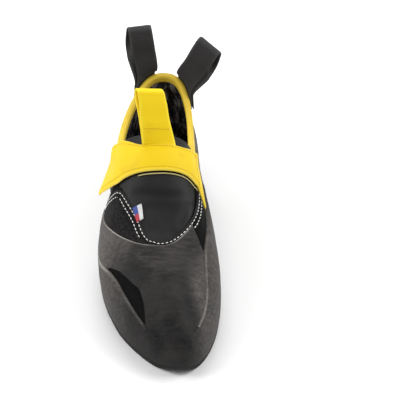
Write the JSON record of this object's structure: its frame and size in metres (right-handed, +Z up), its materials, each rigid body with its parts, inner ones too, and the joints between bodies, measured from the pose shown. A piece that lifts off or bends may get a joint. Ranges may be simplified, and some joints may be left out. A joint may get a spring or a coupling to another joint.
{
  "type": "climbing shoe",
  "caption": "Downturned rubber-randed climbing shoe for the right foot, slipper cut with a stretch instep, one hook-and-loop strap and pull loops.",
  "frame": {"origin": "centre of the bounding box in plan, on the plane that the sole stands on", "axes": "+Z up, toe toward -Y, heel toward +Y, big-toe side toward +X"},
  "size_m": [0.0909, 0.243, 0.1299],
  "materials": {
    "rubber": "satin, brushed",
    "insole_board": "lined board",
    "suede": "napped microfibre suede",
    "neoprene": "smooth stretch neoprene",
    "yellow_webbing": "flat woven tape",
    "black_webbing": "woven webbing",
    "tag_cloth": "woven tag"
  },
  "bodies": {
    "root": {"outsole": "rubber", "insole": "insole_board", "upper": "suede", "tongue": "neoprene", "rand": "rubber", "heel_cup": "rubber", "toe_patch": "rubber", "collar_binding": "yellow_webbing", "strap": "yellow_webbing", "tongue_loop": "yellow_webbing", "heel_loop_outer": "black_webbing", "heel_loop_inner": "black_webbing", "tag": "tag_cloth"}
  },
  "joints": []
}
